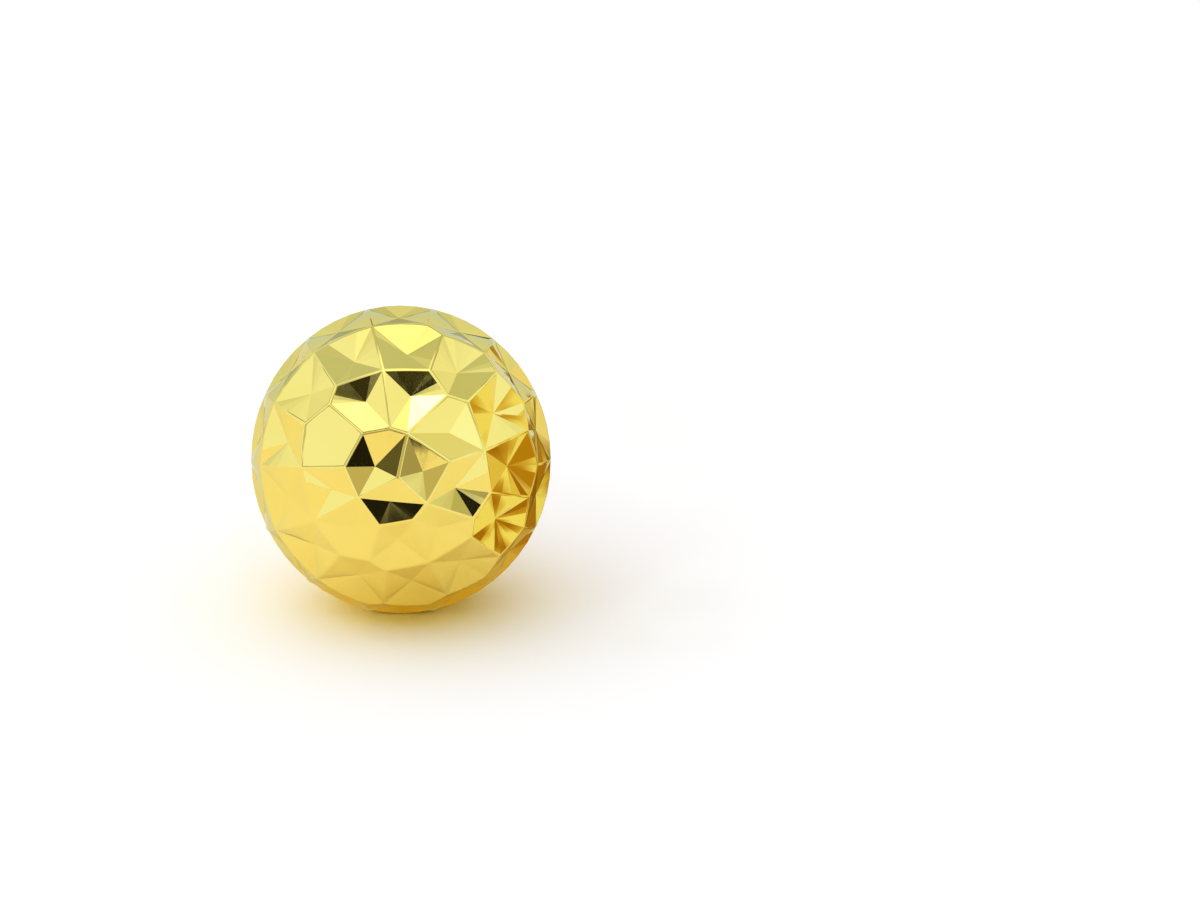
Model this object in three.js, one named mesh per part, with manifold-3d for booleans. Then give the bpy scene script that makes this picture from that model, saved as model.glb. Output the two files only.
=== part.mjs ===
import * as THREE from 'three';
import { ConvexHull } from 'three/addons/math/ConvexHull.js';
import { mergeVertices } from 'three/addons/utils/BufferGeometryUtils.js';
import Module from 'manifold-3d';

// Ball stud earring, in millimetres. It lies on a flat surface with the ball in front
// and the post running back and down to its tip.

const ballRadius = 4.0;         // to the ridges, across the ball
const ballTall = 1.03;          // height of the ball over its width
const cavityRadius = 3.4;       // hollow inside the ball
const cornerMerge = 7.0;        // degrees, ridge corners nearer than this are one corner
const ridgeSteps = 4;           // straight lengths along one ridge
const postTilt = 14.5;          // degrees, slope of the post down to its tip
const postRadius = 0.4;
const tipChamfer = 0.12;
const collarRadius = 0.95;
const collarThick = 0.35;
const collarChamfer = 0.08;
const seatReach = 3.78;         // flat seat for the collar, from the middle of the ball
const pegReach = 3.2;           // inner end of the peg that enters the ball
const gap = 0.03;

// Pits on the front of the ball, which are cut unevenly.
// polar: degrees from the front, turn: degrees clockwise from the top, depth: millimetres
const frontPits = [
  { polar: 11.4, turn: 88, depth: 0.18 },
  { polar: 11, turn: 187.5, depth: 0.18 },
  { polar: 7.6, turn: 287, depth: 0.25 },
  { polar: 30.2, turn: 13, depth: 0.2 },
  { polar: 26.8, turn: 56, depth: 0.2 },
  { polar: 25.7, turn: 105, depth: 0.26 },
  { polar: 28.5, turn: 141, depth: 0.2 },
  { polar: 26.8, turn: 177, depth: 0.2 },
  { polar: 26.8, turn: 215, depth: 0.2 },
  { polar: 26, turn: 254, depth: 0.2 },
  { polar: 26.8, turn: 296, depth: 0.23 },
  { polar: 29.6, turn: 337, depth: 0.2 },
];

// Even rings of pits behind them, round the line from the front of the ball to its back.
// polar and depth as above, pits: how many, phase: turn of the first
const rings = [
  { polar: 49.6, pits: 13, phase: 6, depth: 0.22 },
  { polar: 79.5, pits: 14, phase: 0, depth: 0.24 },
  { polar: 100.5, pits: 14, phase: 0, depth: 0.24 },
  { polar: 130.4, pits: 13, phase: 0, depth: 0.22 },
  { polar: 153, pits: 9, phase: 0, depth: 0.2 },
  { polar: 169, pits: 3, phase: 0, depth: 0.16 },
];

const degree = Math.PI / 180;
const { Manifold, Mesh: SolidMesh } = await Module().then((wasm) => {
  wasm.setup();
  return wasm;
});

// Middle of every pit as a direction: x to the right, y up, z to the front.
function pitDirections() {
  const evenPits = rings.flatMap((ring) =>
    Array.from({ length: ring.pits }, (unused, k) =>
      ({ polar: ring.polar, turn: ring.phase + (360 * k) / ring.pits, depth: ring.depth })));
  return [...frontPits, ...evenPits].map(({ polar, turn, depth }) => {
    const direction = new THREE.Vector3(
      Math.sin(polar * degree) * Math.sin(turn * degree),
      Math.sin(polar * degree) * Math.cos(turn * degree),
      Math.cos(polar * degree),
    );
    return { direction, depth };
  });
}

// Corners of the ridge net: one for every triangle of neighbouring pits, close ones joined.
function ridgeCorners(hull) {
  const home = new Map(hull.faces.map((face) => [face, face]));
  const root = (face) => (home.get(face) === face ? face : root(home.get(face)));
  for (const face of hull.faces) {
    for (const edge of [face.edge, face.edge.next, face.edge.prev]) {
      const other = edge.twin.face;
      if (face.normal.angleTo(other.normal) < cornerMerge * degree) {
        home.set(root(face), root(other));
      }
    }
  }
  const sums = new Map();
  for (const face of hull.faces) {
    const sum = sums.get(root(face)) ?? new THREE.Vector3();
    sums.set(root(face), sum.add(face.normal));
  }
  const ids = new Map([...sums.keys()].map((face, index) => [face, index]));
  return {
    idOf: (face) => ids.get(root(face)),
    directions: [...sums.values()].map((sum) => sum.normalize()),
  };
}

// Corner numbers round one pit, in order.
function cellLoop(hull, pit, corners) {
  const face = hull.faces.find((one) =>
    [one.edge, one.edge.next, one.edge.prev].some((edge) => edge.head().point === pit));
  const start = [face.edge, face.edge.next, face.edge.prev].find((edge) => edge.head().point === pit);
  const loop = [];
  let edge = start;
  do {
    loop.push(corners.idOf(edge.face));
    edge = edge.next.twin;
  } while (edge !== start);
  return loop.filter((id, index) => id !== loop[(index + loop.length - 1) % loop.length]);
}

// Outer skin: each pit is a fan of facets from its sunk middle up to the ridges round it.
// The ridges run straight near the front and the back, and follow the round of the ball at its waist.
function facetedSkin() {
  const pits = pitDirections();
  const hull = new ConvexHull().setFromPoints(pits.map((pit) => pit.direction));
  const corners = ridgeCorners(hull);
  const points = corners.directions.map((direction) => direction.clone().multiplyScalar(ballRadius));
  const ridges = new Map();
  const ridgeBetween = (a, b) => {
    const [low, high] = [Math.min(a, b), Math.max(a, b)];
    const key = `${low} ${high}`;
    if (!ridges.has(key)) {
      const ridge = [low];
      for (let step = 1; step < ridgeSteps; step += 1) {
        const chord = corners.directions[low].clone().lerp(corners.directions[high], step / ridgeSteps);
        const straight = chord.length();
        const outward = chord.normalize();
        const bow = 1 - outward.z * outward.z;
        const reach = THREE.MathUtils.lerp(straight, 1, bow);
        ridge.push(points.push(outward.multiplyScalar(reach * ballRadius)) - 1);
      }
      ridges.set(key, [...ridge, high]);
    }
    return ridges.get(key);
  };
  const index = [];
  for (const pit of pits) {
    const loop = cellLoop(hull, pit.direction, corners);
    const middle = points.push(pit.direction.clone().setLength(ballRadius - pit.depth)) - 1;
    loop.forEach((corner, k) => {
      const ridge = ridgeBetween(corner, loop[(k + 1) % loop.length]);
      for (let step = 0; step < ridgeSteps; step += 1) {
        const [a, b] = [ridge[step], ridge[step + 1]];
        const turn = points[a].clone().cross(points[b]).dot(points[middle]);
        index.push(middle, ...(turn > 0 ? [a, b] : [b, a]));
      }
    });
  }
  const geometry = new THREE.BufferGeometry().setFromPoints(points);
  geometry.setIndex(index);
  return geometry;
}

// Closed turned shape round the z axis from a half outline, front to back.
// A point of the outline is [distance along the axis, radius].
function turned(outline, sides) {
  const profile = outline.map(([along, radius]) => new THREE.Vector2(radius, along)).reverse();
  return new THREE.LatheGeometry(profile, sides).rotateX(Math.PI / 2);
}

function solidOf(geometry) {
  const bare = new THREE.BufferGeometry();
  bare.setAttribute('position', geometry.getAttribute('position'));
  bare.setIndex(geometry.getIndex());
  const joined = mergeVertices(bare, 1e-4);
  const index = joined.getIndex().array;
  const kept = [];
  for (let k = 0; k < index.length; k += 3) {
    const [a, b, c] = index.slice(k, k + 3);
    if (a !== b && b !== c && c !== a) {
      kept.push(a, b, c);
    }
  }
  return new Manifold(new SolidMesh({
    numProp: 3,
    vertProperties: new Float32Array(joined.getAttribute('position').array),
    triVerts: new Uint32Array(kept),
  }));
}

function geometryOf(solid) {
  const mesh = solid.getMesh();
  const geometry = new THREE.BufferGeometry();
  geometry.setAttribute('position', new THREE.BufferAttribute(new Float32Array(mesh.vertProperties), 3));
  geometry.setIndex(new THREE.BufferAttribute(new Uint32Array(mesh.triVerts), 1));
  return geometry;
}

// Ball: faceted skin, hollow, with a flat seat and a hole for the post at the back.
function faceted_ball() {
  const skin = solidOf(facetedSkin());
  const cavity = solidOf(new THREE.IcosahedronGeometry(cavityRadius, 5));
  const stretched = skin.subtract(cavity).scale([1, ballTall, 1]);
  const seatRadius = collarRadius + gap;
  const holeRadius = postRadius + gap;
  const cut = turned([
    [-pegReach + 0.4, 0], [-pegReach + 0.4, holeRadius], [-seatReach, holeRadius],
    [-seatReach, seatRadius], [-ballRadius - 1, seatRadius], [-ballRadius - 1, 0],
  ], 32);
  return geometryOf(stretched.subtract(solidOf(cut)));
}

// Post: peg, collar, shank and chamfered tip in one turned piece.
function ear_post(tipReach) {
  const front = -seatReach - gap;
  const back = front - collarThick;
  return geometryOf(solidOf(turned([
    [-pegReach, 0], [-pegReach, postRadius], [front, postRadius],
    [front, collarRadius - collarChamfer], [front - collarChamfer, collarRadius],
    [back + collarChamfer, collarRadius], [back, collarRadius - collarChamfer],
    [back, postRadius], [-tipReach + tipChamfer, postRadius],
    [-tipReach, postRadius - tipChamfer], [-tipReach, 0],
  ], 32)));
}

const polishedGold = new THREE.MeshStandardMaterial({
  name: 'polished_gold', color: 0xf0cd62, metalness: 1, roughness: 0.06, flatShading: true,
});
const postGold = new THREE.MeshStandardMaterial({
  name: 'post_gold', color: 0xe6c15a, metalness: 1, roughness: 0.15, flatShading: true,
});

const slope = postTilt * degree;
const earring = new THREE.Group();
earring.name = 'ball_stud_earring';
const stud = new THREE.Group();
stud.rotation.x = Math.PI / 2 - slope;
earring.add(stud);

function addPiece(name, geometry, material) {
  const mesh = new THREE.Mesh(geometry, material);
  mesh.name = name;
  stud.add(mesh);
  earring.updateMatrixWorld(true);
}

// The ball lies on its lowest ridge, and the post is long enough for its tip to touch the surface too.
addPiece('faceted_ball', faceted_ball(), polishedGold);
const middleHeight = -new THREE.Box3().setFromObject(stud, true).min.z;
const tipReach = tipChamfer + (middleHeight - postRadius * Math.cos(slope)) / Math.sin(slope);
addPiece('ear_post', ear_post(tipReach), postGold);

const middle = new THREE.Box3().setFromObject(stud, true).getCenter(new THREE.Vector3());
stud.position.set(-middle.x, -middle.y, middleHeight);

export default earring;
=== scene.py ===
import bpy
import math
from mathutils import Matrix, Vector


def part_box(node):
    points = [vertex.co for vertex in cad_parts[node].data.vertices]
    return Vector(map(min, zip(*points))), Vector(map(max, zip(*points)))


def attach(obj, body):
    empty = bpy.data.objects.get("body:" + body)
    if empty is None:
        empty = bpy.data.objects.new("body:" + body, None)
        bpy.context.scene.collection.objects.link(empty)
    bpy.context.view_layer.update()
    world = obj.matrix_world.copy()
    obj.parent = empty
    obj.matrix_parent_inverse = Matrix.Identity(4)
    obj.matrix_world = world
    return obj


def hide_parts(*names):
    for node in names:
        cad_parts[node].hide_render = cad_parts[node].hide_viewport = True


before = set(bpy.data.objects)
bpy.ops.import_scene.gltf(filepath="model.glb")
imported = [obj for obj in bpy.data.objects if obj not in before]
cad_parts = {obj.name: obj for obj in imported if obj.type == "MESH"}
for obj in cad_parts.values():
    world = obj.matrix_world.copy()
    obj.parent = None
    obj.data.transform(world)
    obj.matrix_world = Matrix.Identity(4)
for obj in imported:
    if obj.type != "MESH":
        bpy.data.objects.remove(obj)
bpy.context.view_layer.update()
print("frame loaded")

ballLow, ballHigh = (Vector(corner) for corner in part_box("faceted_ball"))
ballMiddle = (ballLow + ballHigh) / 2
postHigh = Vector(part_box("ear_post")[1])
squareCorners = ((-1, -1), (1, -1), (1, 1), (-1, 1))


# small helpers for node trees and objects

def addNode(tree, kind, **settings):
    node = tree.nodes.new(kind)
    for name, value in settings.items():
        setattr(node, name, value)
    return node


def wire(tree, source, target):
    tree.links.new(source, target)


def feed(tree, socket, value):
    if isinstance(value, bpy.types.NodeSocket):
        tree.links.new(value, socket)
    else:
        socket.default_value = value


def mathNode(tree, operation, *values):
    node = addNode(tree, "ShaderNodeMath", operation=operation)
    for socket, value in zip(node.inputs, values):
        feed(tree, socket, value)
    return node.outputs[0]


def vectorNode(tree, operation, *values, scale=None):
    node = addNode(tree, "ShaderNodeVectorMath", operation=operation)
    for socket, value in zip(node.inputs, values):
        feed(tree, socket, value)
    if scale is not None:
        feed(tree, node.inputs["Scale"], scale)
    return node.outputs["Value" if operation in ("LENGTH", "DOT_PRODUCT") else "Vector"]


def mapRange(tree, value, fromMin, fromMax, toMin=0.0, toMax=1.0, smooth=False):
    node = addNode(tree, "ShaderNodeMapRange", interpolation_type="SMOOTHSTEP" if smooth else "LINEAR")
    for name, given in (("Value", value), ("From Min", fromMin), ("From Max", fromMax),
                        ("To Min", toMin), ("To Max", toMax)):
        feed(tree, node.inputs[name], given)
    return node.outputs["Result"]


def mixColour(tree, factor, first, second):
    node = addNode(tree, "ShaderNodeMix", data_type="RGBA")
    colours = [socket for socket in node.inputs if socket.type == "RGBA"]
    feed(tree, node.inputs["Factor"], factor)
    feed(tree, colours[0], first)
    feed(tree, colours[1], second)
    return next(socket for socket in node.outputs if socket.type == "RGBA")


def mixShaders(tree, share, first, second):
    node = addNode(tree, "ShaderNodeMixShader")
    for socket, source in zip(node.inputs, (share, first, second)):
        wire(tree, source, socket)
    return node.outputs[0]


def noiseNode(tree, place, scale, detail):
    node = addNode(tree, "ShaderNodeTexNoise")
    node.inputs["Scale"].default_value = scale
    node.inputs["Detail"].default_value = detail
    wire(tree, place, node.inputs["Vector"])
    return node.outputs[0]


def bumpNode(tree, height, distance):
    node = addNode(tree, "ShaderNodeBump")
    wire(tree, height, node.inputs["Height"])
    wire(tree, distance, node.inputs["Distance"])
    return node


def toneRamp(tree, value, stops):  # stops are pairs of place and tone
    ramp = addNode(tree, "ShaderNodeValToRGB")
    while len(ramp.color_ramp.elements) < len(stops):
        ramp.color_ramp.elements.new(1.0)
    for element, (position, tone) in zip(ramp.color_ramp.elements, stops):
        element.position = position
        element.color = tone
    wire(tree, value, ramp.inputs[0])
    return ramp.outputs[0]


def storeNamed(tree, geometry, name, value, kind="FLOAT_VECTOR", domain="POINT"):
    node = addNode(tree, "GeometryNodeStoreNamedAttribute", data_type=kind, domain=domain)
    node.inputs["Name"].default_value = name
    wire(tree, geometry, node.inputs["Geometry"])
    feed(tree, node.inputs["Value"], value)
    return node.outputs["Geometry"]


def readNamed(tree, name, kind="FLOAT_VECTOR"):
    node = addNode(tree, "GeometryNodeInputNamedAttribute", data_type=kind)
    node.inputs["Name"].default_value = name
    return node.outputs["Attribute"]


def movePoints(tree, geometry, position):
    node = addNode(tree, "GeometryNodeSetPosition")
    wire(tree, geometry, node.inputs["Geometry"])
    wire(tree, position, node.inputs["Position"])
    return node.outputs["Geometry"]


def setInput(modifier, tree, name, value):
    socket = next(item for item in tree.interface.items_tree
                  if item.item_type == "SOCKET" and item.in_out == "INPUT" and item.name == name)
    modifier[socket.identifier] = value


def newObject(name, content):
    item = bpy.data.objects.new(name, content)
    bpy.context.scene.collection.objects.link(item)
    return item


def plainMesh(source, name):  # mesh of an object with its modifiers applied; the object goes
    evaluated = source.evaluated_get(bpy.context.evaluated_depsgraph_get())
    mesh = bpy.data.meshes.new_from_object(evaluated)
    mesh.name = name
    bpy.data.objects.remove(source)
    return mesh


# gold finishes

goldLook = {
    "cloudScale": 420.0,  # slow change of colour and polish
    "cloudDetail": 3.0,
    "cloudRange": (0.35, 0.7),
    "markDetail": 4.0,  # fine marks, stretched as each finish says
    "dullRange": (0.15, 0.4),
    "waveScale": 800.0,  # low waves left by polishing
    "edgeTint": (0.72, 0.78, 0.75, 1.0),
}


def goldSurfaceGroup():
    tree = bpy.data.node_groups.new("goldSurface", "ShaderNodeTree")
    side = tree.interface
    side.new_socket("Colour", in_out="OUTPUT", socket_type="NodeSocketColor")
    side.new_socket("Roughness", in_out="OUTPUT", socket_type="NodeSocketFloat")
    side.new_socket("Normal", in_out="OUTPUT", socket_type="NodeSocketVector")
    side.new_socket("Bright", in_out="INPUT", socket_type="NodeSocketColor")
    side.new_socket("Deep", in_out="INPUT", socket_type="NodeSocketColor")
    for name in ("Smoothest", "Dullest", "Wave Height", "Mark Height"):
        side.new_socket(name, in_out="INPUT", socket_type="NodeSocketFloat")
    side.new_socket("Mark Stretch", in_out="INPUT", socket_type="NodeSocketVector")
    given = addNode(tree, "NodeGroupInput").outputs
    place = addNode(tree, "ShaderNodeTexCoord").outputs["Object"]
    cloud = noiseNode(tree, place, goldLook["cloudScale"], goldLook["cloudDetail"])
    deep = mapRange(tree, cloud, *goldLook["cloudRange"])
    colour = mixColour(tree, deep, given["Bright"], given["Deep"])
    stretched = vectorNode(tree, "MULTIPLY", place, given["Mark Stretch"])
    marks = noiseNode(tree, stretched, 1.0, goldLook["markDetail"])
    rough = mapRange(tree, mathNode(tree, "MULTIPLY", cloud, marks), *goldLook["dullRange"],
                     given["Smoothest"], given["Dullest"])
    wave = bumpNode(tree, noiseNode(tree, place, goldLook["waveScale"], 0.0), given["Wave Height"])
    scratch = bumpNode(tree, marks, given["Mark Height"])
    wire(tree, wave.outputs[0], scratch.inputs["Normal"])
    out = addNode(tree, "NodeGroupOutput")
    wire(tree, colour, out.inputs["Colour"])
    wire(tree, rough, out.inputs["Roughness"])
    wire(tree, scratch.outputs[0], out.inputs["Normal"])
    return tree


goldSurface = goldSurfaceGroup()


def makeGold(name, finish):
    gold = bpy.data.materials.new(name)
    gold.use_nodes = True
    tree = gold.node_tree
    surface = addNode(tree, "ShaderNodeGroup", node_tree=goldSurface)
    for socket, value in finish.items():
        surface.inputs[socket].default_value = value
    shader = tree.nodes["Principled BSDF"]
    shader.inputs["Metallic"].default_value = 1.0
    shader.inputs["Specular Tint"].default_value = goldLook["edgeTint"]
    for output, socket in (("Colour", "Base Color"), ("Roughness", "Roughness"), ("Normal", "Normal")):
        wire(tree, surface.outputs[output], shader.inputs[socket])
    return gold


# faceted ball: pits in a net of ridges

faceted = {
    "radius": 0.004,
    "tall": 1.03,  # height over width
    "cornerMerge": math.radians(7.0),  # ridge corners nearer than this are one corner
    "tilt": math.radians(14.5),  # slope of the post down to its tip
    "sideStep": 0.1,  # from a ridge to where its pits are looked for, in radii
    "ridgeHalvings": 2,  # each ridge is halved twice, into four steps
    "weld": 0.000001,  # facet corners nearer than this are one point
    "ridgeWidth": 0.00005,
    "ridgeSegments": 4,
    "seatReach": 0.00378,  # flat seat for the collar, from the middle of the ball
    "seatRadius": 0.00098,
    "holeReach": 0.0028,
    "holeRadius": 0.00043,
    "cutterSpare": 0.001,  # how far the cutter stands out of the ball
    "cutterSides": 64,
    "frontPits": (  # degrees from the front, degrees clockwise from the top, depth
        (11.4, 88.0, 0.00018),
        (11.0, 187.5, 0.00018),
        (7.6, 287.0, 0.00025),
        (30.2, 13.0, 0.0002),
        (26.8, 56.0, 0.0002),
        (25.7, 105.0, 0.00026),
        (28.5, 141.0, 0.0002),
        (26.8, 177.0, 0.0002),
        (26.8, 215.0, 0.0002),
        (26.0, 254.0, 0.0002),
        (26.8, 296.0, 0.00023),
        (29.6, 337.0, 0.0002),
    ),
    "rings": (  # degrees from the front, number of pits, turn of the first, depth
        (49.6, 13, 6.0, 0.00022),
        (79.5, 14, 0.0, 0.00024),
        (100.5, 14, 0.0, 0.00024),
        (130.4, 13, 0.0, 0.00022),
        (153.0, 9, 0.0, 0.0002),
        (169.0, 3, 0.0, 0.00016),
    ),
    "finish": {
        "Bright": (0.89, 0.69, 0.155, 1.0),
        "Deep": (0.88, 0.665, 0.13, 1.0),
        "Smoothest": 0.03,
        "Dullest": 0.06,
        "Wave Height": 0.000004,
        "Mark Height": 0.0000001,
        "Mark Stretch": (9000.0, 9000.0, 2500.0),
    },
}


def pitRingGroup():  # even ring of points on a ball of radius 1
    tree = bpy.data.node_groups.new("pitRing", "GeometryNodeTree")
    side = tree.interface
    side.new_socket("Points", in_out="OUTPUT", socket_type="NodeSocketGeometry")
    side.new_socket("Pits", in_out="INPUT", socket_type="NodeSocketInt")
    for name in ("Polar", "Phase", "Depth"):
        side.new_socket(name, in_out="INPUT", socket_type="NodeSocketFloat")
    given = addNode(tree, "NodeGroupInput").outputs
    index = addNode(tree, "GeometryNodeInputIndex").outputs[0]
    share = mathNode(tree, "DIVIDE", index, given["Pits"])
    turn = mathNode(tree, "MULTIPLY_ADD", share, 2 * math.pi, given["Phase"])
    rim = mathNode(tree, "SINE", given["Polar"])
    spot = addNode(tree, "ShaderNodeCombineXYZ")
    wire(tree, mathNode(tree, "MULTIPLY", rim, mathNode(tree, "SINE", turn)), spot.inputs["X"])
    wire(tree, mathNode(tree, "MULTIPLY", rim, mathNode(tree, "COSINE", turn)), spot.inputs["Y"])
    wire(tree, mathNode(tree, "COSINE", given["Polar"]), spot.inputs["Z"])
    points = addNode(tree, "GeometryNodePoints")
    wire(tree, given["Pits"], points.inputs["Count"])
    wire(tree, spot.outputs[0], points.inputs["Position"])
    marked = storeNamed(tree, points.outputs[0], "depth", given["Depth"], kind="FLOAT")
    wire(tree, marked, addNode(tree, "NodeGroupOutput").inputs["Points"])
    return tree


def sampleAt(tree, geometry, value, index, kind):
    node = addNode(tree, "GeometryNodeSampleIndex", data_type=kind, domain="POINT")
    wire(tree, geometry, node.inputs["Geometry"])
    wire(tree, value, node.inputs["Value"])
    wire(tree, index, node.inputs["Index"])
    return node.outputs[0]


def pitBeside(tree, pits, given, sideStep):  # sunk middle of the pit on one side of a ridge
    ends = addNode(tree, "GeometryNodeInputMeshEdgeVertices")
    start, end = ends.outputs["Position 1"], ends.outputs["Position 2"]
    middle = vectorNode(tree, "NORMALIZE", vectorNode(tree, "ADD", start, end))
    along = vectorNode(tree, "SUBTRACT", end, start)
    across = vectorNode(tree, "NORMALIZE", vectorNode(tree, "CROSS_PRODUCT", middle, along))
    beside = vectorNode(tree, "ADD", middle, vectorNode(tree, "SCALE", across, scale=sideStep))
    nearest = addNode(tree, "GeometryNodeSampleNearest", domain="POINT")
    wire(tree, pits, nearest.inputs["Geometry"])
    wire(tree, beside, nearest.inputs["Sample Position"])
    position = addNode(tree, "GeometryNodeInputPosition").outputs[0]
    spot = sampleAt(tree, pits, position, nearest.outputs[0], "FLOAT_VECTOR")
    depth = sampleAt(tree, pits, readNamed(tree, "depth", kind="FLOAT"), nearest.outputs[0], "FLOAT")
    sunk = mathNode(tree, "SUBTRACT", 1.0, mathNode(tree, "DIVIDE", depth, given["Radius"]))
    return vectorNode(tree, "SCALE", spot, scale=sunk)


def ridgeNet(tree, pits, given):  # ridges between the pits, in steps, on a ball of radius 1
    hull = addNode(tree, "GeometryNodeConvexHull")
    wire(tree, pits, hull.inputs[0])
    faceNormal = addNode(tree, "GeometryNodeInputNormal").outputs[0]
    marked = storeNamed(tree, hull.outputs[0], "corner", faceNormal, domain="FACE")
    cells = addNode(tree, "GeometryNodeDualMesh")
    wire(tree, marked, cells.inputs["Mesh"])
    onSphere = movePoints(tree, cells.outputs[0], readNamed(tree, "corner"))
    joined = addNode(tree, "GeometryNodeMergeByDistance")
    wire(tree, onSphere, joined.inputs["Geometry"])
    wire(tree, given["Corner Merge"], joined.inputs["Distance"])
    position = addNode(tree, "GeometryNodeInputPosition").outputs[0]
    outward = vectorNode(tree, "NORMALIZE", position)
    corners = movePoints(tree, joined.outputs[0], outward)
    edges = addNode(tree, "GeometryNodeDeleteGeometry", domain="FACE", mode="ONLY_FACE")
    wire(tree, corners, edges.inputs["Geometry"])
    net = edges.outputs[0]
    for name, sideStep in (("leftPit", faceted["sideStep"]), ("rightPit", -faceted["sideStep"])):
        net = storeNamed(tree, net, name, pitBeside(tree, pits, given, sideStep), domain="EDGE")
    steps = addNode(tree, "GeometryNodeSubdivideMesh")
    steps.inputs["Level"].default_value = faceted["ridgeHalvings"]
    wire(tree, net, steps.inputs["Mesh"])
    # straight near the front and the back, round at the waist
    straight = vectorNode(tree, "LENGTH", position)
    axis = addNode(tree, "ShaderNodeSeparateXYZ")
    wire(tree, outward, axis.inputs[0])
    bow = mathNode(tree, "SUBTRACT", 1.0, mathNode(tree, "MULTIPLY", axis.outputs["Z"], axis.outputs["Z"]))
    reach = mathNode(tree, "MULTIPLY_ADD", bow, mathNode(tree, "SUBTRACT", 1.0, straight), straight)
    net = movePoints(tree, steps.outputs[0], vectorNode(tree, "SCALE", outward, scale=reach))
    ends = addNode(tree, "GeometryNodeInputMeshEdgeVertices")
    net = storeNamed(tree, net, "start", ends.outputs["Position 1"], domain="EDGE")
    net = storeNamed(tree, net, "end", ends.outputs["Position 2"], domain="EDGE")
    points = addNode(tree, "GeometryNodeMeshToPoints", mode="EDGES")
    wire(tree, net, points.inputs["Mesh"])
    return points.outputs[0]


def facetSpots(tree, ridges, pitName):  # corners of the facets between ridge steps and the pits on one side
    start, end, pit = (readNamed(tree, name) for name in ("start", "end", pitName))
    turn = vectorNode(tree, "DOT_PRODUCT", vectorNode(tree, "CROSS_PRODUCT", start, end), pit)
    marked = storeNamed(tree, ridges, "pit", pit)
    for name, back, ahead in (("first", end, start), ("second", start, end)):
        choose = addNode(tree, "GeometryNodeSwitch", input_type="VECTOR")
        wire(tree, mathNode(tree, "GREATER_THAN", turn, 0.0), choose.inputs["Switch"])
        wire(tree, back, choose.inputs["False"])
        wire(tree, ahead, choose.inputs["True"])
        marked = storeNamed(tree, marked, name, choose.outputs[0])
    return marked


def facetedBallTree():
    tree = bpy.data.node_groups.new("facetedBall", "GeometryNodeTree")
    side = tree.interface
    side.new_socket("Geometry", in_out="OUTPUT", socket_type="NodeSocketGeometry")
    side.new_socket("Geometry", in_out="INPUT", socket_type="NodeSocketGeometry")
    for name in ("Radius", "Tall", "Corner Merge"):
        side.new_socket(name, in_out="INPUT", socket_type="NodeSocketFloat")
    side.new_socket("Finish", in_out="INPUT", socket_type="NodeSocketMaterial")
    given = addNode(tree, "NodeGroupInput").outputs
    ring = pitRingGroup()
    allPits = addNode(tree, "GeometryNodeJoinGeometry")
    rows = [(polar, 1, turn, depth) for polar, turn, depth in faceted["frontPits"]] + list(faceted["rings"])
    for polar, count, phase, depth in rows:
        row = addNode(tree, "GeometryNodeGroup", node_tree=ring)
        row.inputs["Polar"].default_value = math.radians(polar)
        row.inputs["Pits"].default_value = count
        row.inputs["Phase"].default_value = math.radians(phase)
        row.inputs["Depth"].default_value = depth
        wire(tree, row.outputs[0], allPits.inputs[0])
    pits = allPits.outputs[0]
    ridges = ridgeNet(tree, pits, given)
    spots = addNode(tree, "GeometryNodeJoinGeometry")
    for pitName in ("leftPit", "rightPit"):
        wire(tree, facetSpots(tree, ridges, pitName), spots.inputs[0])
    # one triangle per spot, its corners moved to the ridge step and the pit
    cornerNames = ("first", "second", "pit")
    facet = addNode(tree, "GeometryNodeMeshCircle", fill_type="NGON")
    facet.inputs["Vertices"].default_value = len(cornerNames)
    placed = addNode(tree, "GeometryNodeInstanceOnPoints")
    wire(tree, spots.outputs[0], placed.inputs["Points"])
    wire(tree, facet.outputs[0], placed.inputs["Instance"])
    facets = addNode(tree, "GeometryNodeRealizeInstances")
    wire(tree, placed.outputs[0], facets.inputs[0])
    index = addNode(tree, "GeometryNodeInputIndex").outputs[0]
    place = mathNode(tree, "FLOORED_MODULO", index, len(cornerNames))
    onRidge = mathNode(tree, "LESS_THAN", place, 1.5)  # the first two corners
    skin = storeNamed(tree, facets.outputs[0], "onRidge", onRidge, kind="FLOAT")
    corner = addNode(tree, "GeometryNodeIndexSwitch", data_type="VECTOR")
    corner.index_switch_items.new()  # a third item
    wire(tree, place, corner.inputs["Index"])
    for number, name in enumerate(cornerNames):
        wire(tree, readNamed(tree, name), corner.inputs[str(number)])
    stretch = addNode(tree, "ShaderNodeCombineXYZ")
    wire(tree, given["Radius"], stretch.inputs["X"])
    wire(tree, mathNode(tree, "MULTIPLY", given["Radius"], given["Tall"]), stretch.inputs["Y"])
    wire(tree, given["Radius"], stretch.inputs["Z"])
    skin = movePoints(tree, skin, vectorNode(tree, "MULTIPLY", corner.outputs[0], stretch.outputs[0]))
    welded = addNode(tree, "GeometryNodeMergeByDistance")
    welded.inputs["Distance"].default_value = faceted["weld"]
    wire(tree, skin, welded.inputs["Geometry"])
    bothEnds = mathNode(tree, "GREATER_THAN", readNamed(tree, "onRidge", kind="FLOAT"), 0.9)
    weighted = storeNamed(tree, welded.outputs[0], "bevel_weight_edge", bothEnds,
                          kind="FLOAT", domain="EDGE")
    coat = addNode(tree, "GeometryNodeSetMaterial")
    wire(tree, weighted, coat.inputs["Geometry"])
    wire(tree, given["Finish"], coat.inputs["Material"])
    wire(tree, coat.outputs[0], addNode(tree, "NodeGroupOutput").inputs["Geometry"])
    return tree


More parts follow.
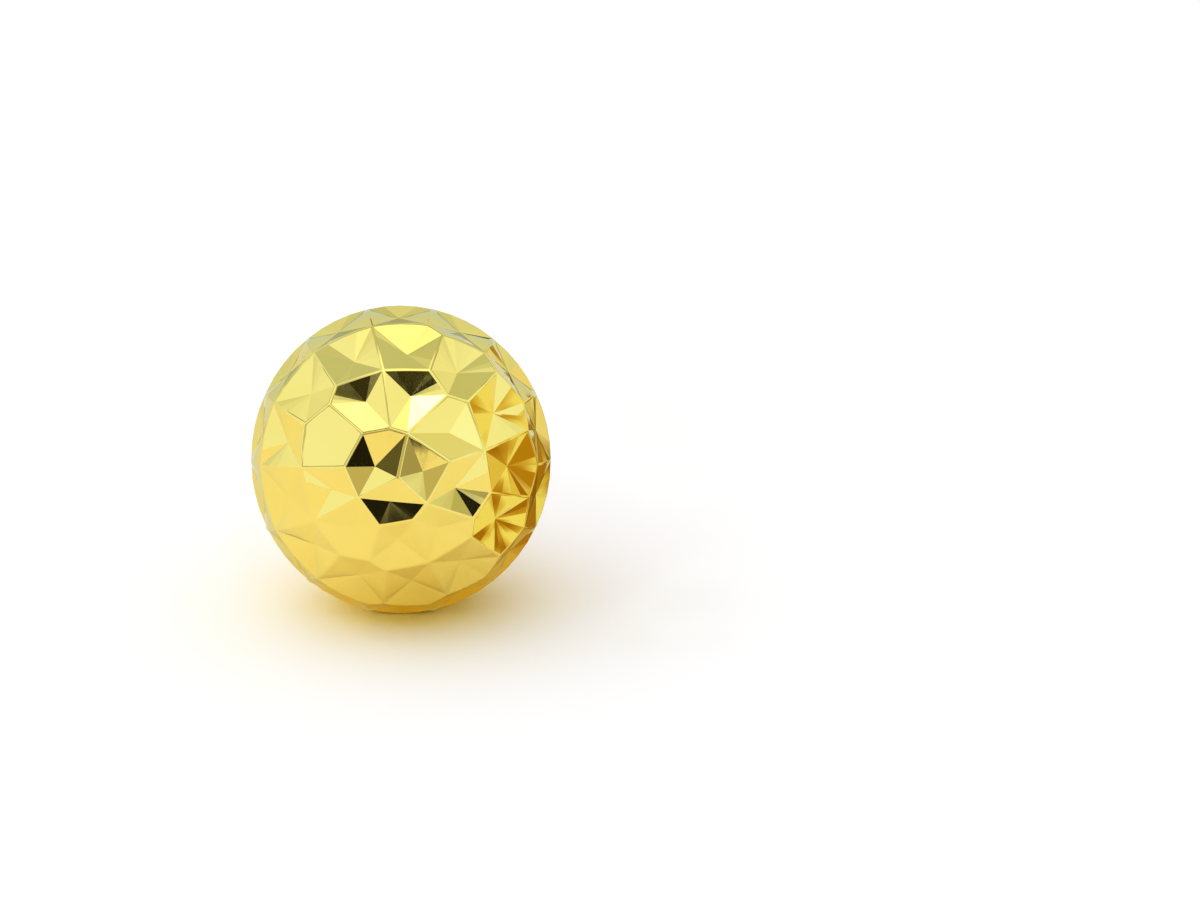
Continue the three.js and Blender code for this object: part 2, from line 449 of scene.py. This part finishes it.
def turnedMesh(name, outline, sides):  # closed shape from pairs of distance behind the middle and radius
    points = [(0.0, 0.0, -outline[0][0])]
    for along, radius in outline:
        turns = (2 * math.pi * step / sides for step in range(sides))
        points += [(radius * math.cos(turn), radius * math.sin(turn), -along) for turn in turns]
    points.append((0.0, 0.0, -outline[-1][0]))
    faces = []
    for step in range(sides):
        after = (step + 1) % sides
        faces.append((0, 1 + step, 1 + after))
        for row in range(1, (len(outline) - 1) * sides, sides):
            faces.append((row + step, row + sides + step, row + sides + after, row + after))
        last = len(points) - 1
        faces.append((last, last - sides + after, last - sides + step))
    mesh = bpy.data.meshes.new(name)
    mesh.from_pydata(points, [], faces)
    return mesh


def cutSeat(mesh):  # flat seat and blind hole for the post at the back
    seat, rim, hole = faceted["seatReach"], faceted["seatRadius"], faceted["holeRadius"]
    reach = faceted["radius"] + faceted["cutterSpare"]
    outline = ((faceted["holeReach"], hole), (seat, hole), (seat, rim), (reach, rim))
    cutter = newObject("seatCutter", turnedMesh("seatCutter", outline, faceted["cutterSides"]))
    holder = newObject("ballHolder", mesh)
    cut = holder.modifiers.new("seat", "BOOLEAN")
    cut.operation = "DIFFERENCE"
    cut.solver = "EXACT"
    cut.object = cutter
    done = plainMesh(holder, "faceted_ball_shell")
    bpy.data.objects.remove(cutter)
    return done


def makeBall():
    maker = newObject("ballMaker", bpy.data.meshes.new("ballMaker"))
    tree = facetedBallTree()
    nodes = maker.modifiers.new("facets", "NODES")
    nodes.node_group = tree
    setInput(nodes, tree, "Radius", faceted["radius"])
    setInput(nodes, tree, "Tall", faceted["tall"])
    setInput(nodes, tree, "Corner Merge", 2 * math.sin(faceted["cornerMerge"] / 2))
    gold = makeGold("polishedGold", faceted["finish"])
    setInput(nodes, tree, "Finish", gold)
    sharp = plainMesh(maker, "sharpBall")
    print("ball facets:", len(sharp.polygons))
    turn = Matrix.Rotation(math.pi / 2 - faceted["tilt"], 4, "X")
    spots = [turn @ vertex.co for vertex in sharp.vertices]
    front, low = min(spot.y for spot in spots), min(spot.z for spot in spots)
    place = Matrix.Translation((0.0, ballLow.y - front, ballLow.z - low)) @ turn
    # ridges rounded a little, as polishing leaves them
    sharp.materials.clear()
    flatSlot, roundSlot = 0, 1  # the second slot marks the rounded faces
    for slot in (flatSlot, roundSlot):
        sharp.materials.append(gold)
    rounder = newObject("ballRounder", sharp)
    soft = rounder.modifiers.new("ridges", "BEVEL")
    soft.limit_method = "WEIGHT"
    soft.width = faceted["ridgeWidth"]
    soft.segments = faceted["ridgeSegments"]
    soft.material = roundSlot
    rounded = plainMesh(rounder, "roundedBall")
    grow = low / min((turn @ vertex.co).z for vertex in rounded.vertices)
    rounded.transform(Matrix.Scale(grow, 4))  # the rounded ridges still reach the floor
    mesh = cutSeat(rounded)
    for polygon in mesh.polygons:
        polygon.use_smooth = polygon.material_index == roundSlot
        polygon.material_index = flatSlot
    mesh.materials.pop()
    mesh.transform(place)
    print("ball:", len(mesh.vertices), "points", len(mesh.polygons), "faces")
    return newObject("faceted_ball_shell", mesh), place


ball, studPlace = makeBall()
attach(ball, "root")
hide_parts("faceted_ball")

# ear post: peg, collar and shank turned in one piece

post = {
    "radius": 0.0004,
    "pegReach": 0.0032,  # inner end of the peg, from the middle of the ball
    "collarFront": 0.00381,
    "collarThick": 0.00035,
    "collarRadius": 0.00095,
    "collarRound": 0.00008,
    "fillet": 0.0001,  # solder round the shank behind the collar
    "tipRound": 0.00012,
    "sides": 64,
    "arcSteps": 6,
    "sharpAngle": math.radians(40),
    "finish": {
        "Bright": (0.9, 0.69, 0.2, 1.0),
        "Deep": (0.86, 0.62, 0.16, 1.0),
        "Smoothest": 0.08,
        "Dullest": 0.2,
        "Wave Height": 0.000001,
        "Mark Height": 0.0000005,
        "Mark Stretch": (16000.0, 900.0, 16000.0),
    },
}


def arc(along, radius, size, start, end):  # part of a circle in an outline, angles from straight out
    steps = post["arcSteps"]
    turns = [math.radians(start + (end - start) * step / steps) for step in range(steps + 1)]
    return [(along + size * math.sin(turn), radius + size * math.cos(turn)) for turn in turns]


def makePost():
    thin, wide = post["radius"], post["collarRadius"]
    front, back = post["collarFront"], post["collarFront"] + post["collarThick"]
    edge, fillet, tipRound = post["collarRound"], post["fillet"], post["tipRound"]
    slope = faceted["tilt"]
    # the tip lies on the floor with its rounded edge
    flatEnd = (postHigh.y - studPlace.translation.y - (thin - tipRound) * math.sin(slope)) / math.cos(slope)
    tip = flatEnd - tipRound * math.tan(slope / 2)
    outline = [(post["pegReach"], thin), (front, thin)]
    outline += arc(front + edge, wide - edge, edge, -90, 0)
    outline += arc(back - edge, wide - edge, edge, 0, 90)
    outline += arc(back + fillet, thin + fillet, fillet, 270, 180)
    outline += arc(tip - tipRound, thin - tipRound, tipRound, 0, 90)
    mesh = turnedMesh("ear_post_turned", outline, post["sides"])
    mesh.shade_smooth()
    mesh.set_sharp_from_angle(angle=post["sharpAngle"])
    mesh.materials.append(makeGold("postGold", post["finish"]))
    mesh.transform(studPlace)
    print("post:", len(mesh.polygons), "faces")
    return newObject("ear_post_turned", mesh)


postPiece = makePost()
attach(postPiece, "root")
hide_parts("ear_post")

# floor, camera and light

studio = {
    "elevation": math.radians(19.3),  # camera above the horizon
    "lens": 115.0,
    "sensor": 36.0,
    "clipStart": 0.001,
    "pixelsPerMetre": 37500.0,
    "ballPixel": (401.0, 459.5),
    "frameSize": (1200.0, 900.0),
    "floorHalf": 0.6,
    "paper": (0.97, 0.95, 0.88, 1.0),
    "paperRoughness": 0.8,
    "fill": (  # light on the floor: rise of its direction, tone
        (0.0, (2.85, 1.45, 0.0, 1.0)),
        (0.3, (1.17, 1.0, 0.08, 1.0)),
        (0.8, (1.08, 1.23, 1.8, 1.0)),
    ),
    "fillSides": (1.47, 0.43),  # strength from the left and from the right
    "backdrop": (1.0, 1.0, 1.0, 1.0),  # beyond the floor's edge
    "front": (1.04, 1.2, 1.62, 1.0),  # tones of the tent that the metal mirrors
    "back": (0.85, 0.95, 1.12, 1.0),
    "zenith": (1.9, 1.9, 1.9, 1.0),
    "frontToBack": (0.1, 0.85),  # where the tones meet, as parts of a direction
    "zenithEdge": (0.92, 0.98),
    # soft patches in the tent, later ones on top: degrees round from the camera side, degrees above
    # the horizon, half width and half height in degrees, softness of the edge, tone
    "cards": (
        # grey band at the back
        (-155.0, 52.0, 38.0, 14.0, 0.2, (0.64, 0.75, 0.9)),
        (150.0, 54.0, 42.0, 13.0, 0.2, (0.64, 0.75, 0.9)),
        # grey and dark patches in front
        (0.0, 19.0, 22.0, 9.0, 0.3, (0.6, 0.6, 0.58)),
        (40.0, 12.0, 8.0, 8.0, 0.2, (0.42, 0.42, 0.4)),
        (-50.0, 25.0, 4.0, 3.2, 0.3, (0.12, 0.12, 0.1)),
        (-28.0, 43.0, 9.0, 5.5, 0.2, (0.04, 0.04, 0.03)),
        (12.0, 49.0, 10.5, 3.2, 0.2, (0.04, 0.04, 0.03)),
        (-3.0, 58.5, 4.0, 3.2, 0.2, (0.03, 0.03, 0.03)),
        (-27.0, 59.5, 5.0, 3.0, 0.3, (0.12, 0.12, 0.1)),
        # greys that show in ridges and from other sides
        (-21.0, 24.0, 9.0, 8.0, 0.3, (0.5, 0.55, 0.58)),
        (-66.0, 22.0, 9.0, 8.0, 0.3, (0.52, 0.58, 0.64)),
        (72.0, 30.0, 9.0, 8.0, 0.3, (0.55, 0.62, 0.68)),
        (51.0, 36.0, 8.0, 7.0, 0.3, (0.6, 0.68, 0.75)),
        (-51.0, 54.0, 11.0, 6.5, 0.3, (0.5, 0.56, 0.6)),
        (-81.0, 58.0, 12.0, 6.0, 0.3, (0.68, 0.78, 0.9)),
        (-84.0, 12.0, 6.0, 6.0, 0.3, (0.36, 0.38, 0.4)),
        (-111.0, 28.0, 6.5, 6.0, 0.3, (0.42, 0.46, 0.5)),
        (120.0, 46.0, 7.0, 5.0, 0.3, (0.35, 0.38, 0.4)),
        (168.0, 60.0, 11.0, 6.0, 0.3, (0.5, 0.56, 0.6)),
        (-173.0, 28.0, 6.0, 5.5, 0.3, (0.25, 0.26, 0.27)),
        (155.0, 24.0, 7.0, 5.0, 0.3, (0.18, 0.18, 0.17)),
        (-132.0, 16.0, 5.0, 5.0, 0.3, (0.4, 0.43, 0.46)),
        # lamps, greys and the two darkest patches
        (84.0, 76.0, 30.0, 7.0, 0.3, (3.0, 3.0, 3.0)),
        (-98.0, 50.0, 9.0, 6.0, 0.3, (0.66, 0.77, 0.92)),
        (0.0, 5.0, 16.0, 8.0, 0.2, (0.015, 0.015, 0.015)),
        (30.0, 5.5, 3.2, 2.7, 0.2, (0.02, 0.02, 0.02)),
        (62.0, 16.0, 4.0, 4.0, 0.3, (0.55, 0.6, 0.55)),
        (33.0, 30.0, 6.0, 8.0, 0.3, (1.1, 1.35, 2.1)),
        (66.0, 47.0, 7.0, 4.0, 0.3, (0.86, 0.95, 1.05)),
        (-50.0, 71.0, 20.0, 5.0, 0.3, (2.3, 2.3, 2.3)),
        (-8.0, 78.5, 9.0, 5.2, 0.3, (6.0, 6.0, 6.0)),
    ),
    "paintedEarringReflection": {  # painted reflection of the left-out second earring and of the amber shade on the floor under it: a glowing bent sheet on the right of the ball, seen only in the metal, measured from below the ball's middle
        "profile": (  # to the right, up
            (0.0058, 0.00003),
            (0.0085, 0.0003),
            (0.0102, 0.002),
            (0.0107, 0.0042),
            (0.0104, 0.0095),
        ),
        "ahead": 0.0036,
        "behind": 0.0165,
        "cloudScale": 520.0,
        "cloudDetail": 1.0,
        "tones": (  # of the clouds, dark to light
            (0.34, (0.42, 0.21, 0.015, 1.0)),
            (0.44, (0.7, 0.5, 0.1, 1.0)),
            (0.53, (1.0, 1.0, 0.6, 1.0)),
        ),
        "patches": (  # place along the sheet, height, half length, half height, tone
            (-0.0032, 0.008, 0.0012, 0.0024, (1.0, 1.12, 0.95)),
            (0.0003, 0.0036, 0.0008, 0.0013, (0.84, 0.72, 0.3)),
            (-0.0019, 0.0042, 0.0008, 0.0012, (0.52, 0.29, 0.02)),
            (0.0055, 0.006, 0.0032, 0.0032, (1.0, 0.98, 0.97)),
            (0.0095, 0.008, 0.0035, 0.0026, (1.0, 0.98, 0.97)),
            (0.0094, 0.004, 0.0019, 0.0011, (0.55, 0.28, 0.04)),
            (0.0056, 0.0001, 0.002, 0.0005, (0.5, 0.245, 0.017)),
            (0.0148, 0.0003, 0.0016, 0.0006, (0.52, 0.26, 0.03)),
        ),
        "soft": 0.25,
    },
    "paintedFloorBounceAndShade": {  # painted reflection of the floor near the ball, lit amber by light bounced off the gold and darker in the shade towards the right: a round glowing patch at floor level, seen only in the metal
        "middle": (0.0012, 0.0044),  # to the right of the ball's middle and behind it
        "radius": 0.0064,
        "soft": 0.03,
        "lift": 0.00002,
        "tones": (  # from its left edge to its right edge
            (0.15, (0.97, 0.8, 0.42, 1.0)),
            (0.29, (0.88, 0.61, 0.18, 1.0)),
            (0.41, (0.66, 0.38, 0.04, 1.0)),
            (0.58, (0.74, 0.47, 0.08, 1.0)),
            (0.72, (0.8, 0.57, 0.2, 1.0)),
            (0.82, (0.52, 0.25, 0.02, 1.0)),
        ),
    },
}


def makeFloor():
    mesh = bpy.data.meshes.new("floor")
    half = studio["floorHalf"]
    mesh.from_pydata([(x * half, y * half, 0.0) for x, y in squareCorners], [], [(0, 1, 2, 3)])
    paper = bpy.data.materials.new("palePaper")
    paper.use_nodes = True
    shader = paper.node_tree.nodes["Principled BSDF"]
    shader.inputs["Base Color"].default_value = studio["paper"]
    shader.inputs["Roughness"].default_value = studio["paperRoughness"]
    mesh.materials.append(paper)
    newObject("floor", mesh)


def makeCamera():
    rise, scale = studio["elevation"], studio["pixelsPerMetre"]
    sight = Vector((0.0, math.cos(rise), -math.sin(rise)))
    up = Vector((0.0, math.sin(rise), math.cos(rise)))
    width, height = studio["frameSize"]
    ballX, ballY = studio["ballPixel"]
    target = ballMiddle - Vector(((ballX - width / 2) / scale, 0, 0)) - up * ((height / 2 - ballY) / scale)
    camera = bpy.data.cameras.new("camera")
    camera.lens = studio["lens"]
    camera.sensor_width = studio["sensor"]
    camera.clip_start = studio["clipStart"]
    distance = (width / scale) * studio["lens"] / studio["sensor"]
    eye = newObject("camera", camera)
    eye.location = target - sight * distance
    eye.rotation_euler = (math.pi / 2 - rise, 0.0, 0.0)
    bpy.context.scene.camera = eye


def softPatchGroup():  # soft ellipse of one tone on what is around it
    tree = bpy.data.node_groups.new("softPatch", "ShaderNodeTree")
    side = tree.interface
    side.new_socket("Colour", in_out="OUTPUT", socket_type="NodeSocketColor")
    for name in ("Place", "Scale", "Shift"):
        side.new_socket(name, in_out="INPUT", socket_type="NodeSocketVector")
    side.new_socket("Soft", in_out="INPUT", socket_type="NodeSocketFloat")
    for name in ("Tone", "Around"):
        side.new_socket(name, in_out="INPUT", socket_type="NodeSocketColor")
    given = addNode(tree, "NodeGroupInput").outputs
    fromMiddle = vectorNode(tree, "MULTIPLY_ADD", given["Place"], given["Scale"], given["Shift"])
    inner = mathNode(tree, "SUBTRACT", 1.0, given["Soft"])
    outer = mathNode(tree, "ADD", 1.0, given["Soft"])
    inside = mapRange(tree, vectorNode(tree, "LENGTH", fromMiddle), inner, outer, 1.0, 0.0, smooth=True)
    colour = mixColour(tree, inside, given["Around"], given["Tone"])
    wire(tree, colour, addNode(tree, "NodeGroupOutput").inputs["Colour"])
    return tree


patchGroup = softPatchGroup()


def softPatch(tree, place, middle, half, soft, tone, around):  # a half size of 0 leaves that axis out
    scale = [1 / size if size else 0.0 for size in half]
    shift = [-at * size for at, size in zip(middle, scale)]
    patch = addNode(tree, "ShaderNodeGroup", node_tree=patchGroup)
    for name, value in (("Place", place), ("Scale", scale), ("Shift", shift), ("Soft", soft),
                        ("Tone", (*tone, 1.0)), ("Around", around)):
        feed(tree, patch.inputs[name], value)
    return patch.outputs["Colour"]


def tentTone(tree, axis):  # what the metal mirrors: a tent with soft patches
    atBack = mapRange(tree, axis["Y"], *studio["frontToBack"], smooth=True)
    tone = mixColour(tree, atBack, studio["front"], studio["back"])
    atTop = mapRange(tree, axis["Z"], *studio["zenithEdge"], smooth=True)
    tone = mixColour(tree, atTop, tone, studio["zenith"])
    toCamera = mathNode(tree, "MULTIPLY", axis["Y"], -1.0)
    place = addNode(tree, "ShaderNodeCombineXYZ")
    wire(tree, mathNode(tree, "ARCTAN2", axis["X"], toCamera), place.inputs["X"])
    wire(tree, mathNode(tree, "ARCSINE", axis["Z"]), place.inputs["Y"])
    for azimuth, height, wide, tall, soft, cardTone in studio["cards"]:
        middle = (math.radians(azimuth), math.radians(height), 0.0)
        half = (math.radians(wide), math.radians(tall), 0.0)
        tone = softPatch(tree, place.outputs[0], middle, half, soft, cardTone, tone)
    return tone


def makeTent():  # tent for the metal, fill for the floor, white backdrop for the camera
    world = bpy.data.worlds.new("lightTent")
    world.use_nodes = True
    world.cycles.sampling_method = "NONE"
    tree = world.node_tree
    axis = addNode(tree, "ShaderNodeSeparateXYZ")
    wire(tree, addNode(tree, "ShaderNodeTexCoord").outputs["Generated"], axis.inputs[0])
    tent = tree.nodes["Background"]
    wire(tree, tentTone(tree, axis.outputs), tent.inputs["Color"])
    fill = addNode(tree, "ShaderNodeBackground")
    wire(tree, toneRamp(tree, axis.outputs["Z"], studio["fill"]), fill.inputs["Color"])
    wire(tree, mapRange(tree, axis.outputs["X"], -1.0, 1.0, *studio["fillSides"]), fill.inputs["Strength"])
    backdrop = addNode(tree, "ShaderNodeBackground")
    backdrop.inputs["Color"].default_value = studio["backdrop"]
    paths = addNode(tree, "ShaderNodeLightPath").outputs
    lit = mixShaders(tree, paths["Is Glossy Ray"], fill.outputs[0], tent.outputs[0])
    seen = mixShaders(tree, paths["Is Camera Ray"], lit, backdrop.outputs[0])
    wire(tree, seen, tree.nodes["World Output"].inputs["Surface"])
    bpy.context.scene.world = world
    bpy.context.scene.view_settings.view_transform = "Standard"


def reflectedSheet(name, points, faces):  # glowing sheet that is seen only in the metal: a painted reflection
    mesh = bpy.data.meshes.new(name)
    mesh.from_pydata(points, [], faces)
    glow = bpy.data.materials.new(name)
    glow.use_nodes = True
    tree = glow.node_tree
    shader = addNode(tree, "ShaderNodeEmission")
    wire(tree, shader.outputs[0], tree.nodes["Material Output"].inputs["Surface"])
    mesh.materials.append(glow)
    panel = newObject(name, mesh)
    panel.visible_camera = panel.visible_diffuse = panel.visible_shadow = False
    return tree, shader


# painted reflection: a glowing sheet, seen only in the metal, in the amber, gold and dark tones of the
# second earring and its shade
def makeWarmCard():
    card = studio["paintedEarringReflection"]
    depths = (ballMiddle.y - card["ahead"], ballMiddle.y + card["behind"])
    points = [(ballMiddle.x + x, y, z) for x, z in card["profile"] for y in depths]
    faces = [(row, row + 1, row + 3, row + 2) for row in range(0, len(points) - 2, 2)]
    tree, shader = reflectedSheet("paintedEarringReflection", points, faces)
    place = addNode(tree, "ShaderNodeTexCoord").outputs["Object"]
    clouds = noiseNode(tree, place, card["cloudScale"], card["cloudDetail"])
    tone = toneRamp(tree, clouds, card["tones"])
    for along, height, length, tall, patchTone in card["patches"]:
        middle, half = (0.0, ballMiddle.y + along, height), (0.0, length, tall)
        tone = softPatch(tree, place, middle, half, card["soft"], patchTone, tone)
    wire(tree, tone, shader.inputs["Color"])


# painted reflection of gold-bounced light and shade on the floor, seen only in the metal
def makeFloorGlow():
    glow = studio["paintedFloorBounceAndShade"]
    radius, soft = glow["radius"], glow["soft"]
    right, behind = glow["middle"]
    middle = Vector((ballMiddle.x + right, ballMiddle.y + behind, glow["lift"]))
    half = radius * (1 + soft)
    corners = [middle + Vector((x * half, y * half, 0.0)) for x, y in squareCorners]
    tree, shader = reflectedSheet("paintedFloorBounceAndShade", corners, [(0, 1, 2, 3)])
    place = addNode(tree, "ShaderNodeTexCoord").outputs["Object"]
    fromMiddle = vectorNode(tree, "MULTIPLY_ADD", place, (1 / radius,) * 3, -middle / radius)
    axis = addNode(tree, "ShaderNodeSeparateXYZ")
    wire(tree, fromMiddle, axis.inputs[0])
    across = mapRange(tree, axis.outputs["X"], -1.0, 1.0)
    wire(tree, toneRamp(tree, across, glow["tones"]), shader.inputs["Color"])
    outside = mapRange(tree, vectorNode(tree, "LENGTH", fromMiddle), 1 - soft, 1 + soft)
    # it doesn't light the floor by way of the ball
    paths = addNode(tree, "ShaderNodeLightPath").outputs
    hidden = mathNode(tree, "MAXIMUM", outside, paths["Diffuse Depth"])
    clear = addNode(tree, "ShaderNodeBsdfTransparent")
    edge = mixShaders(tree, hidden, shader.outputs[0], clear.outputs[0])
    wire(tree, edge, tree.nodes["Material Output"].inputs["Surface"])


makeFloor()
makeCamera()
makeTent()
makeWarmCard()
makeFloorGlow()
print("studio ready:", len(studio["cards"]), "cards")
